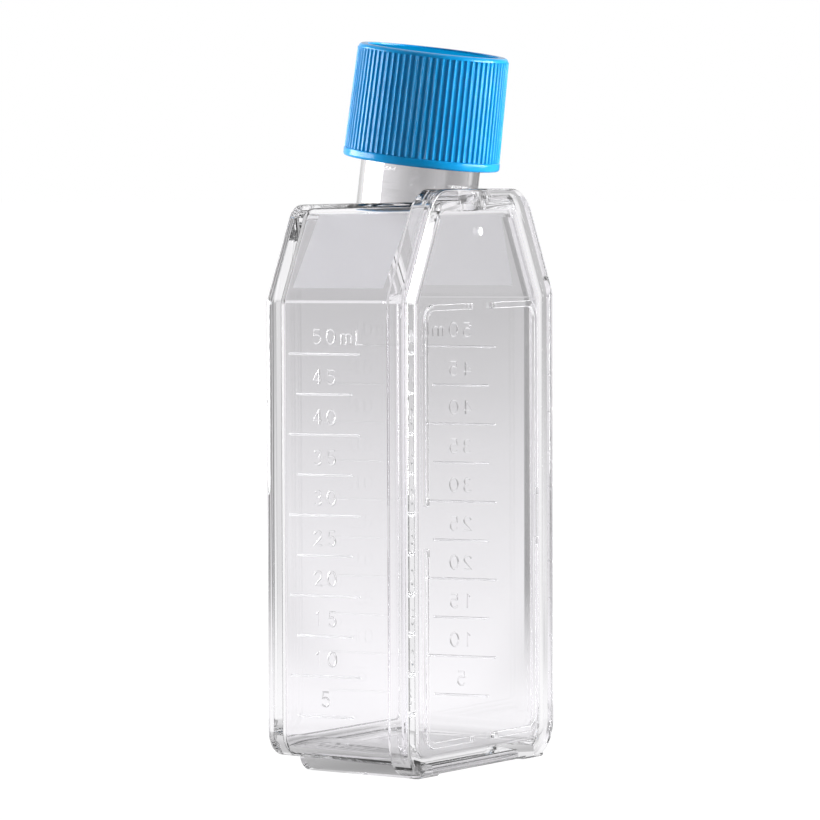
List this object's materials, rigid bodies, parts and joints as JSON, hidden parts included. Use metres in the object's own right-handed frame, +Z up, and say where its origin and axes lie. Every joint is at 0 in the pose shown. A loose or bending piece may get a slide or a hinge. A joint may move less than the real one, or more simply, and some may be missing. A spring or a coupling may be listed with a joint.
{
  "type": "cell culture flask",
  "caption": "Clear flat-sided culture flask with angled shoulders, a leaning threaded neck, raised volume marks and a ribbed blue screw cap.",
  "frame": {"origin": "middle of the whole object's bounding box in X and Y, at the level of the two feet that it stands on", "axes": "+X across the flask's width, +Y from the top plate towards the growth face, +Z up from the end wall to the neck"},
  "size_m": [0.0464, 0.0284, 0.1078],
  "materials": {
    "clear_polystyrene": "clear polished polystyrene, with a lightly frosted panel on each shoulder",
    "clear_polystyrene_plate": "clear polished polystyrene",
    "blue_cap": "satin moulded polypropylene",
    "liner_foam": "matt closed-cell polyethylene foam"
  },
  "bodies": {
    "flask": {"flask_body": "clear_polystyrene", "top_plate": "clear_polystyrene_plate"},
    "liner": {"seal_liner": "liner_foam"},
    "cap": {"cap_shell": "blue_cap"}
  },
  "joints": [
    {"name": "cap_rise", "type": "slide", "parent": "flask", "child": "liner", "axis": [0, -0.1323, 0.9912], "range_m": [0, 0.0064]},
    {"name": "cap_turn", "type": "hinge", "parent": "liner", "child": "cap", "pos_m": [0, -0.00016, 0.08403], "axis": [0, -0.1323, 0.9912], "range_deg": [0, 720]}
  ],
  "couplings": [
    {"joint": "cap_rise", "follows": "cap_turn", "m_per_rad": 0.0005093}
  ]
}
